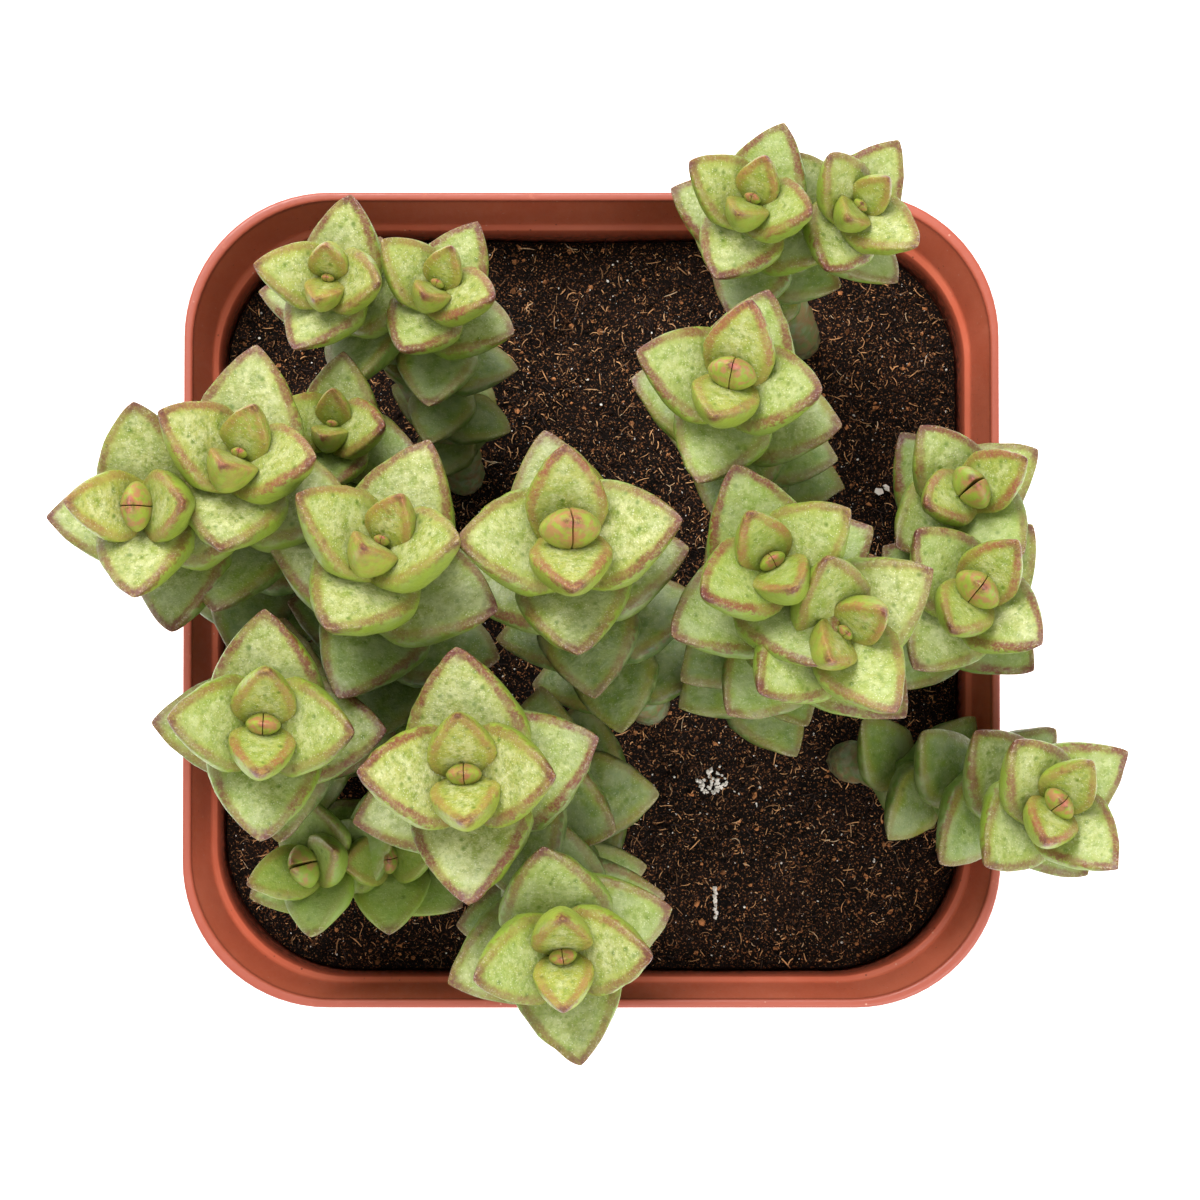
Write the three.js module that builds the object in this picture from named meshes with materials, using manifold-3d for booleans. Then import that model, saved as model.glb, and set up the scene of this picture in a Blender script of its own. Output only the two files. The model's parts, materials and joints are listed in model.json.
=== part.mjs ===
// A potted stacked succulent: a square plastic pot with rounded corners, its soil, and leafy stems.
// Millimetres, +Z up. The origin is the middle of the pot's underside, and +Y is away from the viewer.
import * as THREE from 'three';
import { mergeVertices } from 'three/addons/utils/BufferGeometryUtils.js';
import Module from 'manifold-3d';

const wasm = await Module();
wasm.setup();

// Pot
const POT_HEIGHT = 50;
const RIM_HALF = 27.5;
const RIM_CORNER = 9.8;
const LIP_ROUND = 0.2;
const LIP_WIDTH = 0.6;
const COLLAR_HEIGHT = 9;
const COLLAR_TAPER = 0.6;
const COLLAR_STEP = 0.9;
const COLLAR_ROUND = 0.3;
const BASE_HALF = 20;
const FOOT_BEVEL = 1;
const SHOULDER_DEPTH = 5;
const SHOULDER_STEP = 0.5;
const SHOULDER_ROUND = 0.2;
const WALL = 1;
const FLOOR = 1.6;
const CORNER_STEPS = 5;
const DRAIN_RADIUS = 2;
const DRAIN_SIDES = 12;
const DRAIN_OFFSET = 13.5;

// Soil
const SOIL_TOP = 43;
const SOIL_GAP = 0.35;
const SOIL_RINGS = 4;
const SOIL_ROUGH = 0.35;
const SOIL_WAVE = 0.42;
const HOLE_SIDES = 8;
const HOLE_GAP = 0.5;

// Stems
const STEM_DEPTH = 2.5;
const STEM_RADIUS = 1.5;
const STEM_SIDES = 5;
const STEM_PITCH = 4;
const FORK_PULL = 0.6;
const PATH_STEPS = 120;
const FOOT_HANDLE = 0.35;
const TIP_HANDLE = 0.38;

// Growth, by a pair's age: its place below the tip, counted in pairs. Lengths and gaps are shares
// of a grown leaf's length, and the rise is in degrees above the level of the pair.
const LENGTH = { young: 0.1, grown: 1, pace: 1.3, power: 1.6 };
const AGED = { young: 1, grown: 0.75, pace: 6.5, power: 5 };
const RISE = { young: 77, grown: -3, pace: 3.3, power: 1.5 };
const CLOSE = { young: 30, grown: 0, pace: 1, power: 10 };
const RISE_LIMIT = 89.2;
const GAP = { young: 0.05, grown: 0.44, pace: 3, power: 2.6 };
const FIRST_GAP = 0.02;

// Leaves, as shares of the leaf's own length where no unit is given
const WIDTH = { young: 0.34, grown: 0.46, pace: 2.6, power: 3.5 };
const DEPTH = { young: 0.55, grown: 0.42, pace: 1.3, power: 3 };
const DEPTH_POWER = 0.9;
const BASE_WIDTH = 0.75;
const WIDEST = 0.3;
const TAPER_POWER = 1.5;
const TIP = { young: 0.68, grown: 0.82, pace: 0.95, power: 8 };
const BEND = { young: 0, grown: 16, pace: 1.15, power: 5 };
const BLADE_STEPS = 24;
const BLADE_STATIONS = [WIDEST, 0.68];
const PLAIN_STATIONS = [0.45];
const PLAIN_AGE = 3;
const PAIR_SINK = 0.6;
const LEAF_GAP = 0.35;

// One section of a leaf: across as a share of its half width, down as a share of its depth
const SECTION = [[0.9, 0], [-0.9, 0], [-1, -0.3], [0, -1], [1, -0.3]];

// Each stem: where it leaves the soil, or which stem it forks from and how far below that one's tip;
// where its tip is; which way the tip leans (azimuth, then degrees off upright); the length of a
// grown leaf; the azimuth of the youngest pair; the age of that pair, counted in pairs; how many
// pairs it has; and turns added to single pairs.
const STEMS = [
  { name: 'leafy_stem_01', base: [4, -7], tip: [-1.4, 2.9, 75], lean: [62, 9], leaf: 8.5, turn: 5,
    age: 0.85, pairs: 9, twist: [0, 0, 0, 3] },
  { name: 'leafy_stem_02', base: [0.5, -13.5], tip: [-8, -12.5, 75.5], lean: [100, 3], leaf: 8.9,
    turn: 2, age: 0.42, pairs: 10, twist: [0, 4, 0, 0, 15, 15, -22] },
  { name: 'leafy_stem_03', base: [-11.7, -7.5], tip: [-13.3, 2.4, 74], lean: [83, 16], leaf: 8.5,
    turn: -18, age: 0.1, pairs: 10, twist: [0, -15, 0, -8, -4] },
  { name: 'leafy_stem_04', base: [-21, -3], tip: [-22.4, 8, 73.5], lean: [80, 14], leaf: 8.3,
    turn: -15, age: 0.12, pairs: 10, twist: [0, -10, 0, 5] },
  { name: 'fork_04', from: 'leafy_stem_04', below: 24, tip: [-28.8, 4.7, 72], lean: [191, 10],
    leaf: 8.1, turn: 90, age: 0.7, pairs: 5 },
  { name: 'leafy_stem_05', base: [12.5, 7.5], tip: [9, 12.9, 73.5], lean: [96, 10], leaf: 7.6,
    turn: -14, age: 0.75, pairs: 9, twist: [0, -4, 0, -7] },
  { name: 'leafy_stem_06', base: [10.2, -7.2], tip: [11.5, 1, 75], lean: [113, 8], leaf: 8, turn: 31,
    age: 0.35, pairs: 10, twist: [0, 0, 0, -8] },
  { name: 'fork_06', from: 'leafy_stem_06', below: 22, tip: [16.1, -3.4, 74], lean: [-35, 12],
    leaf: 8.4, turn: -47, age: 0.15, pairs: 6, twist: [0, 0, -15, -10, 0] },
  { name: 'leafy_stem_07', base: [-17, -9], tip: [-20.9, -9.2, 72], lean: [0, 3], leaf: 8.3, turn: -3,
    age: 0.45, pairs: 9 },
  { name: 'leafy_stem_08', base: [-2.2, -18], tip: [-1.8, -23.9, 73], lean: [-80, 8], leaf: 8.1,
    turn: 9, age: 0.35, pairs: 9, twist: [0, -5, 0, 0, 8] },
  { name: 'leafy_stem_09', base: [14.3, 18.1], tip: [10.4, 24.8, 69], lean: [100, 10], leaf: 6.5,
    turn: -24, age: 0.25, pairs: 8 },
  { name: 'fork_09', from: 'leafy_stem_09', below: 14, tip: [17.4, 24.5, 68], lean: [20, 6], leaf: 6,
    turn: -44, age: 0.25, pairs: 5, twist: [0, 0, 0, 15] },
  { name: 'leafy_stem_10', base: [-8.7, 8.5], tip: [-10, 19.6, 66], lean: [80, 12], leaf: 6.1,
    turn: -28, age: 0.2, pairs: 10, twist: [0, 0, 0, 0, 0, 20, 15, 15] },
  { name: 'fork_10', from: 'leafy_stem_10', below: 20, tip: [-17.1, 20, 66], lean: [180, 6], leaf: 6.4,
    turn: -10, age: 0.15, pairs: 6, twist: [0, 0, 0, -8] },
  { name: 'leafy_stem_11', base: [21.5, -3.5], tip: [25, -0.3, 65], lean: [53, 5], leaf: 7, turn: -38,
    age: 0.85, pairs: 6 },
  { name: 'leafy_stem_12', base: [16.5, -10.5], start: [-12, 20], tip: [30.3, -14.1, 64],
    lean: [18, 6], leaf: 7, turn: -50, age: 0.6, pairs: 9, twist: [0, 20, 0, -7] },
  { name: 'leafy_stem_13', base: [-15.5, 7.5], tip: [-16.9, 10.7, 63.5], lean: [110, 12], leaf: 5.8,
    turn: -10, age: 0.15, pairs: 6 },
  { name: 'leafy_stem_14', base: [22, 4], tip: [24.8, 6.5, 62], lean: [63, 7], leaf: 6.5, turn: -54,
    age: 0.9, pairs: 5, twist: [0, -12] },
  { name: 'leafy_stem_15', base: [-17.5, -19], tip: [-18.6, -18.1, 58], lean: [180, 22], leaf: 5.9,
    turn: -70, age: 0.9, pairs: 4, twist: [0, 0, -15] },
  { name: 'leafy_stem_16', base: [-13.1, -18], tip: [-13.5, -17.5, 55], lean: [-60, 5], leaf: 6.6,
    turn: 97, age: 0.55, pairs: 4, twist: [0, 0, 0, -42] },
];

// A value that passes from its young to its grown size as the pair gets older
const grown = (rule, age) => rule.young
  + (rule.grown - rule.young) * (1 - Math.exp(-((age / rule.pace) ** rule.power)));

const toRadians = THREE.MathUtils.degToRad;
const vector = (x, y, z) => new THREE.Vector3(x, y, z);

function leanDirection([azimuth, tilt]) {
  const a = toRadians(azimuth);
  const t = toRadians(tilt);
  return vector(Math.sin(t) * Math.cos(a), Math.sin(t) * Math.sin(a), Math.cos(t));
}

// A stem's path from its tip down: points, upward tangents and the length walked from the tip
const paths = new Map();
function stemPath(stem) {
  if (paths.has(stem.name)) return paths.get(stem.name);
  const tip = vector(...stem.tip);
  let foot;
  let footWay;
  if (stem.from) {
    const parent = stemPath(STEMS.find((other) => other.name === stem.from));
    const at = parent.walked.findIndex((w) => w >= stem.below);
    foot = parent.points[at];
    const pull = tip.clone().sub(foot).normalize().multiplyScalar(FORK_PULL);
    footWay = parent.ways[at].clone().add(pull).normalize();
  } else {
    foot = vector(stem.base[0], stem.base[1], SOIL_TOP - STEM_DEPTH);
    footWay = leanDirection(stem.start ?? [0, 0]);
  }
  const reach = tip.distanceTo(foot);
  const low = foot.clone().addScaledVector(footWay, reach * FOOT_HANDLE);
  const high = tip.clone().addScaledVector(leanDirection(stem.lean), -reach * TIP_HANDLE);
  const curve = new THREE.CubicBezierCurve3(tip, high, low, foot);
  const points = [];
  const ways = [];
  const walked = [];
  for (let i = 0; i < PATH_STEPS; i++) {
    const t = i / (PATH_STEPS - 1);
    points.push(curve.getPoint(t));
    ways.push(curve.getTangent(t).negate());
    walked.push(i ? walked[i - 1] + points[i].distanceTo(points[i - 1]) : 0);
  }
  const path = { points, ways, walked, end: walked.at(-1) };
  paths.set(stem.name, path);
  return path;
}

// The point and the three axes of a path at a length walked from its tip
function along(path, distance) {
  let i = path.walked.findIndex((w) => w >= distance);
  if (i < 1) i = i < 0 ? PATH_STEPS - 1 : 1;
  const t = (distance - path.walked[i - 1]) / (path.walked[i] - path.walked[i - 1]);
  const point = path.points[i - 1].clone().lerp(path.points[i], t);
  const way = path.ways[i - 1].clone().lerp(path.ways[i], t).normalize();
  const east = vector(1, 0, 0).addScaledVector(way, -way.x).normalize();
  return { point, way, east, north: way.clone().cross(east) };
}

// Every pair of leaves of a stem, from the youngest down
function pairsOf(stem) {
  const path = stemPath(stem);
  const pairs = [];
  let below = FIRST_GAP * stem.leaf;
  for (let k = 0; k < stem.pairs; k++) {
    const age = k + stem.age;
    const gap = grown(GAP, age + 0.5) * stem.leaf;
    const { point, way, east, north } = along(path, below);
    const turn = toRadians(stem.turn + 90 * k + (stem.twist?.[k] ?? 0));
    const out = east.clone().multiplyScalar(Math.cos(turn)).addScaledVector(north, Math.sin(turn));
    const side = way.clone().cross(out);
    const length = grown(LENGTH, age) * grown(AGED, age) * stem.leaf;
    pairs.push([1, -1].map((facing) => ({ age, below, gap, point, way, side, length,
      out: out.clone().multiplyScalar(facing) })));
    below += gap;
  }
  return pairs;
}

// The leaf's half width and depth at a share of its length from the stem
function outline(leaf, a) {
  if (a < WIDEST) return BASE_WIDTH + (1 - BASE_WIDTH) * Math.sin((a / WIDEST) * Math.PI / 2);
  return (1 - ((a - WIDEST) / (1 - WIDEST)) ** TAPER_POWER) ** grown(TIP, leaf.age);
}

const halfWidth = (leaf, a) => grown(WIDTH, leaf.age) * leaf.length * outline(leaf, a);
const leafDepth = (leaf, a) => grown(DEPTH, leaf.age) * leaf.length * outline(leaf, a) ** DEPTH_POWER;

// A blade's angle above the level of its pair; a bud's two leaves stand closed
const bladeRise = (age) => Math.min(grown(RISE, age) + grown(CLOSE, age), RISE_LIMIT);

// A point of the leaf's middle line and its upward normal: the blade rises, then bends outward
function midline(leaf, a) {
  const angleAt = (t) => toRadians(bladeRise(leaf.age) + grown(BEND, leaf.age) * (0.5 - t));
  const point = leaf.point.clone();
  const steps = Math.ceil(a * BLADE_STEPS);
  const pace = a * leaf.length / steps;
  for (let i = 0; i < steps; i++) {
    const angle = angleAt((i + 0.5) / steps * a);
    point.addScaledVector(leaf.out, Math.cos(angle) * pace);
    point.addScaledVector(leaf.way, Math.sin(angle) * pace);
  }
  const angle = angleAt(a);
  const normal = leaf.way.clone().multiplyScalar(Math.cos(angle)).addScaledVector(leaf.out, -Math.sin(angle));
  return { point, normal };
}

function bladeRing(leaf, a, grow) {
  const { point, normal } = midline(leaf, a);
  return sectionRing(point, leaf.side, normal, halfWidth(leaf, a), leafDepth(leaf, a), grow);
}

function sectionRing(point, side, normal, width, depth, grow) {
  return SECTION.map(([across, down]) => point.clone()
    .addScaledVector(side, (width + grow) * across)
    .addScaledVector(normal, grow + (depth + 2 * grow) * down));
}

// A closed solid through rings of like length; a ring of one point is a tip, other ends are capped
function loft(rings) {
  const points = rings.flat();
  const starts = [];
  rings.reduce((at, ring, i) => {
    starts[i] = at;
    return at + ring.length;
  }, 0);
  const faces = [];
  for (let i = 0; i + 1 < rings.length; i++) {
    const [a, b] = [rings[i].length, rings[i + 1].length];
    for (let j = 0; j < Math.max(a, b); j++) {
      const k = (j + 1) % Math.max(a, b);
      if (a > 1) faces.push(starts[i] + j, starts[i] + k, starts[i + 1] + (b > 1 ? k : 0));
      if (b > 1) faces.push(starts[i] + (a > 1 ? j : 0), starts[i + 1] + k, starts[i + 1] + j);
    }
  }
  for (const [ring, start, first] of [[rings[0], starts[0], true],
    [rings.at(-1), starts.at(-1), false]]) {
    for (let j = 1; j + 1 < ring.length; j++) {
      faces.push(start, ...(first ? [start + j + 1, start + j] : [start + j, start + j + 1]));
    }
  }
  let volume = 0;
  for (let f = 0; f < faces.length; f += 3) {
    const [p, q, r] = [points[faces[f]], points[faces[f + 1]], points[faces[f + 2]]];
    volume += p.dot(q.clone().cross(r));
  }
  if (volume < 0) faces.reverse();
  return solid(points.flatMap((p) => p.toArray()), faces);
}

function solid(positions, faces) {
  return new wasm.Manifold(new wasm.Mesh({
    numProp: 3,
    vertProperties: new Float32Array(positions),
    triVerts: new Uint32Array(faces),
  }));
}

// A pair is one body from tip to tip, deep enough at the stem to sink into the pair below
function pairSolid([left, right], grow) {
  const stations = left.age < PLAIN_AGE ? BLADE_STATIONS : PLAIN_STATIONS;
  const half = (leaf) => {
    const { point } = midline(leaf, 1 + grow / leaf.length);
    return [[point], ...stations.toReversed().map((a) => bladeRing(leaf, a, grow))];
  };
  const depth = Math.max(leafDepth(left, 0), left.gap + PAIR_SINK);
  const middle = sectionRing(left.point, left.side, left.way, halfWidth(left, 0), depth, grow);
  return loft([...half(left), middle, ...half(right).toReversed()]);
}

// The bare stem, from inside its lowest pair down into the soil or into the stem it forks from
function stalkSolid(stem, grow) {
  const path = stemPath(stem);
  const lowest = pairsOf(stem).at(-1)[0];
  const top = lowest.below + PAIR_SINK;
  const steps = Math.ceil((path.end - top) / STEM_PITCH);
  const rings = [];
  for (let i = 0; i <= steps; i++) {
    const { point, east, north } = along(path, top + (path.end - top) * i / steps);
    const radius = STEM_RADIUS + grow;
    rings.push(ringOf(STEM_SIDES, (angle) => point.clone()
      .addScaledVector(east, radius * Math.cos(angle))
      .addScaledVector(north, radius * Math.sin(angle))));
  }
  return loft(rings);
}

const ringOf = (count, pointAt) => Array.from({ length: count },
  (_, i) => pointAt((i / count) * 2 * Math.PI));

// A square with rounded corners, as one ring of points
function roundedSquare(half, corner, z) {
  const ring = [];
  for (let quarter = 0; quarter < 4; quarter++) {
    for (let i = 0; i <= CORNER_STEPS; i++) {
      const angle = (quarter + i / CORNER_STEPS) * Math.PI / 2;
      const [cx, cy] = [[1, 1], [-1, 1], [-1, -1], [1, -1]][quarter];
      ring.push(vector(cx * (half - corner) + corner * Math.cos(angle),
        cy * (half - corner) + corner * Math.sin(angle), z));
    }
  }
  return ring;
}

// Below the collar the wall tapers to the foot, and the inside follows it at the wall's thickness
const COLLAR_FOOT = POT_HEIGHT - COLLAR_HEIGHT;
const BODY_HALF = RIM_HALF - COLLAR_TAPER - COLLAR_STEP;
const wallHalf = (z) => THREE.MathUtils.mapLinear(z, 0, COLLAR_FOOT, BASE_HALF, BODY_HALF);
const cornerAt = (half) => RIM_CORNER * half / RIM_HALF;
const potRing = (half, z) => roundedSquare(half, cornerAt(half), z);
const innerHalf = (z) => wallHalf(z) - WALL;
const SHOULDER_Z = POT_HEIGHT - SHOULDER_DEPTH;

// The pot without its drain holes; grow moves every face outward
function potShell(grow) {
  const inside = RIM_HALF - LIP_WIDTH - grow;
  const shoulderHalf = RIM_HALF - WALL - COLLAR_TAPER - grow;
  return loft([
    potRing(BASE_HALF - FOOT_BEVEL + grow, -grow),
    potRing(BASE_HALF + grow, FOOT_BEVEL),
    potRing(BODY_HALF + grow, COLLAR_FOOT - grow),
    potRing(BODY_HALF + COLLAR_STEP + grow, COLLAR_FOOT + COLLAR_ROUND - grow),
    potRing(RIM_HALF + grow, POT_HEIGHT - LIP_ROUND + grow),
    potRing(RIM_HALF - LIP_ROUND + grow, POT_HEIGHT + grow),
    potRing(inside + LIP_ROUND, POT_HEIGHT + grow),
    potRing(inside, POT_HEIGHT - LIP_ROUND + grow),
    potRing(shoulderHalf, SHOULDER_Z + SHOULDER_ROUND),
    potRing(shoulderHalf - SHOULDER_STEP, SHOULDER_Z),
    potRing(innerHalf(COLLAR_FOOT) - grow, COLLAR_FOOT),
    potRing(innerHalf(FLOOR) - grow, FLOOR + grow),
  ]);
}

function potSolid() {
  let pot = potShell(0);
  for (const [x, y] of [[1, 1], [-1, 1], [-1, -1], [1, -1]]) {
    const drill = new THREE.CylinderGeometry(DRAIN_RADIUS, DRAIN_RADIUS, FLOOR * 3, DRAIN_SIDES);
    drill.rotateX(Math.PI / 2).translate(x * DRAIN_OFFSET, y * DRAIN_OFFSET, 0);
    pot = pot.subtract(fromGeometry(drill));
  }
  return pot;
}

// The soil's top is gently uneven, in rings that shrink towards the middle
const soilHeight = (x, y) => SOIL_TOP
  + SOIL_ROUGH * Math.sin(x * SOIL_WAVE + 1) * Math.cos(y * SOIL_WAVE)
  + SOIL_ROUGH / 2 * Math.sin(2 * x * SOIL_WAVE - 1.5 * y * SOIL_WAVE);

function soilSolid() {
  const bottom = FLOOR + SOIL_GAP;
  const halfAt = (z) => (z > COLLAR_FOOT ? innerHalf(COLLAR_FOOT) : innerHalf(z)) - SOIL_GAP;
  const rings = [
    potRing(halfAt(bottom), bottom),
    potRing(halfAt(COLLAR_FOOT), COLLAR_FOOT),
  ];
  for (let i = 0; i < SOIL_RINGS; i++) {
    const share = 1 - i / SOIL_RINGS;
    const ring = potRing(halfAt(SOIL_TOP) * share, SOIL_TOP);
    for (const p of ring) p.z = soilHeight(p.x, p.y);
    rings.push(ring);
  }
  rings.push([vector(0, 0, soilHeight(0, 0))]);
  let soil = loft(rings);
  for (const stem of STEMS.filter((s) => s.base)) {
    const radius = STEM_RADIUS + HOLE_GAP;
    const path = stemPath(stem);
    const end = path.points.at(-1);
    const way = along(path, path.end - STEM_DEPTH * 1.5).point.sub(end).normalize();
    const foot = end.clone().addScaledVector(way, -HOLE_GAP);
    const rim = end.clone().addScaledVector(way, STEM_DEPTH * 3);
    soil = soil.subtract(loft([foot, rim].map((centre) => ringOf(HOLE_SIDES, (angle) => centre.clone()
      .add(vector(radius * Math.cos(angle), radius * Math.sin(angle), 0))))));
  }
  return soil;
}

function fromGeometry(geometry) {
  geometry.deleteAttribute('normal');
  geometry.deleteAttribute('uv');
  const merged = mergeVertices(geometry);
  return solid(merged.attributes.position.array, merged.index.array);
}

function meshOf(name, body, material) {
  const { numProp, vertProperties, triVerts } = body.getMesh();
  const geometry = new THREE.BufferGeometry();
  geometry.setAttribute('position', new THREE.BufferAttribute(vertProperties, numProp));
  geometry.setIndex(new THREE.BufferAttribute(triVerts, 1));
  geometry.computeVertexNormals();
  const mesh = new THREE.Mesh(geometry, material);
  mesh.name = name;
  return mesh;
}

// A fork belongs to the stem it grows from
const nodeOf = (stem) => stem.from ?? stem.name;

// The largest of the bodies that a shape falls into
function largest(shape) {
  return shape.decompose().reduce((best, body) => (body.volume() > best.volume() ? body : best));
}

function leafyStem(node, grow) {
  return STEMS.filter((stem) => nodeOf(stem) === node).flatMap((stem) => [
    stalkSolid(stem, grow),
    ...pairsOf(stem).map((pair) => pairSolid(pair, grow)),
  ]);
}

const plastic = new THREE.MeshStandardMaterial({ color: 0xc2694f, roughness: 0.45, metalness: 0 });
const peat = new THREE.MeshStandardMaterial({ color: 0x2b1a12, roughness: 0.95, metalness: 0 });
const leafGreen = new THREE.MeshStandardMaterial({ color: 0x9fb35a, roughness: 0.55, metalness: 0 });

const plant = new THREE.Group();
plant.add(meshOf('pot', potSolid(), plastic));
plant.add(meshOf('soil', soilSolid(), peat));
// Each leafy stem is cut clear of the ones before it, which press against its leaves
const before = [potShell(LEAF_GAP)];
for (const node of new Set(STEMS.map(nodeOf))) {
  const whole = wasm.Manifold.union(leafyStem(node, 0));
  const cut = whole.subtract(wasm.Manifold.union(before));
  plant.add(meshOf(node, largest(cut), leafGreen.clone()));
  before.push(...leafyStem(node, LEAF_GAP));
}

export default plant;
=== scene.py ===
"""A potted stacked succulent: leafy stems in dark soil, in a square plastic nursery pot, seen from above."""
import json
import math

import bpy
import numpy as np
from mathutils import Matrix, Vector

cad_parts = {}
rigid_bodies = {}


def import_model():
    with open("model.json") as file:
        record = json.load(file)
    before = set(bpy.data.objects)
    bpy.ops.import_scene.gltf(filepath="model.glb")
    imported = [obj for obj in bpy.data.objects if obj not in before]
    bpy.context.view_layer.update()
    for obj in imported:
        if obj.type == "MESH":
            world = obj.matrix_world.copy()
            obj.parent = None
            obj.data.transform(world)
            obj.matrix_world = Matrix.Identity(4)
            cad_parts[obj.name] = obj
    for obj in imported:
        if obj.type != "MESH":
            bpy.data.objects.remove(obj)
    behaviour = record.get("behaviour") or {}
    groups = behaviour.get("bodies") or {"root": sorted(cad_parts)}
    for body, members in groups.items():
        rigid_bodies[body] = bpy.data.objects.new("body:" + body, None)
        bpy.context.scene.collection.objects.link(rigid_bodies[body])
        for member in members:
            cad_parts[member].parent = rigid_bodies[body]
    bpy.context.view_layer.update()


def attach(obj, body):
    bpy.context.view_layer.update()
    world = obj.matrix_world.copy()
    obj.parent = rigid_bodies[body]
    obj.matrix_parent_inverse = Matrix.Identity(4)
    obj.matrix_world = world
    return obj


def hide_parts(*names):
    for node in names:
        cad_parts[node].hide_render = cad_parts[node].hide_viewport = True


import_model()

MM = 0.001

# The camera looks down on the rim, leaning a little towards the front; sizes in millimetres
VIEW_AIM = (0.57, -0.1, 50)
VIEW_DISTANCE = 420
VIEW_TILT = 3
VIEW_SPAN = 80.8
SENSOR = 36

# Studio
FLOOR_HALF = 1.5
SKY = 0.66
KEY = dict(place=(-140, 330, 500), size=320, power=5)
FILL = dict(place=(200, -280, 400), size=400, power=2.2)

# Pot
POT_HEIGHT = 50
RIM_HALF = 27.5
RIM_CORNER = 9.8
LIP_ROUND = 0.2
LIP_WIDTH = 0.6
COLLAR_HEIGHT = 9
COLLAR_TAPER = 0.6
COLLAR_STEP = 0.9
BASE_HALF = 20
FOOT_BEVEL = 1
SHOULDER_DEPTH = 5
SHOULDER_STEP = 0.5
COLLAR_EDGE = 0.25
WALL = 1
FLOOR = 1.6
CORNER_STEPS = 18
DRAIN_RADIUS = 2
DRAIN_OFFSET = 13.5
ARC_STEPS = 5
AXIS = 0.01
SHOULDER_Z = POT_HEIGHT - SHOULDER_DEPTH

# Soil
SOIL_TOP = 43
SOIL_GAP = 0.1
SOIL_CELL = 0.27
SOIL_WAVES = ((14, 0.35, 5), (4, 0.16, 8), (1.6, 0.09, 14), (0.75, 0.07, 22))
HOLLOW = dict(place=(-1.8, 18), depth=1.1, spread=1.6)
EDGE_FROM = 0.93
EDGE_DROP = 0.5
CRUMBS = 8000
FIBRES = 9000
FIBRE_BENDS = 4
SPECKS = 1500
PERLITE = dict(place=(8.2, -12.2), half=(1.05, 0.75), grains=46)
STICK = dict(place=(8.45, -21.4), length=1.9, grains=8, size=0.22)
PALE_BITS = dict(x=[19.7, 20.2], y=[7.7, 8.0], sizes=[0.35, 0.3])

# Stems and growth, as in the part's source: a pair's age is its place below the tip
STEM_DEPTH = 2.5
STEM_RADIUS = 1.5
FORK_PULL = 0.6
PATH_STEPS = 120
FOOT_HANDLE = 0.35
TIP_HANDLE = 0.38
LENGTH = dict(young=0.1, grown=1, pace=1.3, power=1.6)
AGED = dict(young=1, grown=0.75, pace=6.5, power=5)
RISE = dict(young=77, grown=-3, pace=3.3, power=1.5)
CLOSE = dict(young=30, grown=0, pace=1, power=10)
RISE_LIMIT = 89.2
BEND = dict(young=0, grown=16, pace=1.15, power=5)
WIDTH = dict(young=0.34, grown=0.46, pace=2.6, power=3.5)
DEPTH = dict(young=0.55, grown=0.42, pace=1.3, power=3)
TIP = dict(young=0.68, grown=0.82, pace=0.95, power=8)
GAP = dict(young=0.05, grown=0.44, pace=3, power=2.6)
FIRST_GAP = 0.02
DEPTH_POWER = 0.9
BASE_WIDTH = 0.75
WIDEST = 0.3
TAPER_POWER = 1.5
PAIR_SINK = 0.6

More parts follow.
